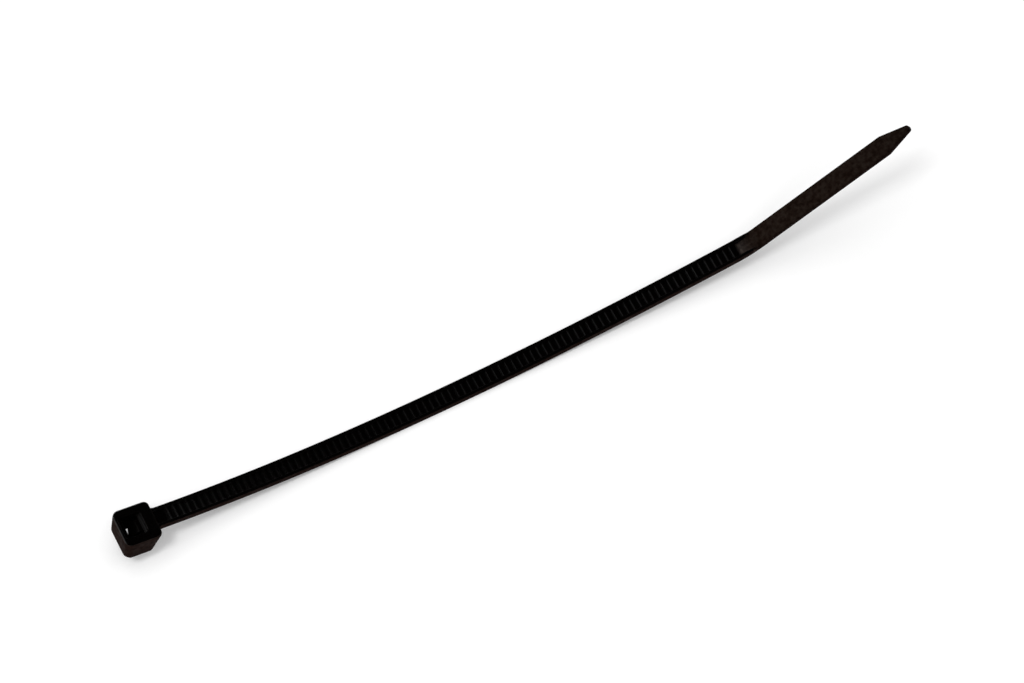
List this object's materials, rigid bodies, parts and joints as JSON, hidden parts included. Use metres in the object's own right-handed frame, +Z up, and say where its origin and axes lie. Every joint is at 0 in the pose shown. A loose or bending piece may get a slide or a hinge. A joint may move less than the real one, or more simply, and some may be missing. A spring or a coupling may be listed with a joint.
{
  "type": "cable tie",
  "caption": "One-piece nylon cable tie with a slotted locking head, a toothed strap between two rails and a smooth pointed tail.",
  "frame": {"origin": "on the table under the middle of the tie's whole length, in its symmetry plane", "axes": "+X along the strap from the head to the tail, +Y across the strap, +Z up, with the teeth on the upper side"},
  "size_m": [0.1002, 0.0048, 0.0164],
  "materials": {
    "nylon": "satin, as moulded"
  },
  "bodies": {
    "root": {"cable_tie": "nylon"}
  },
  "joints": []
}
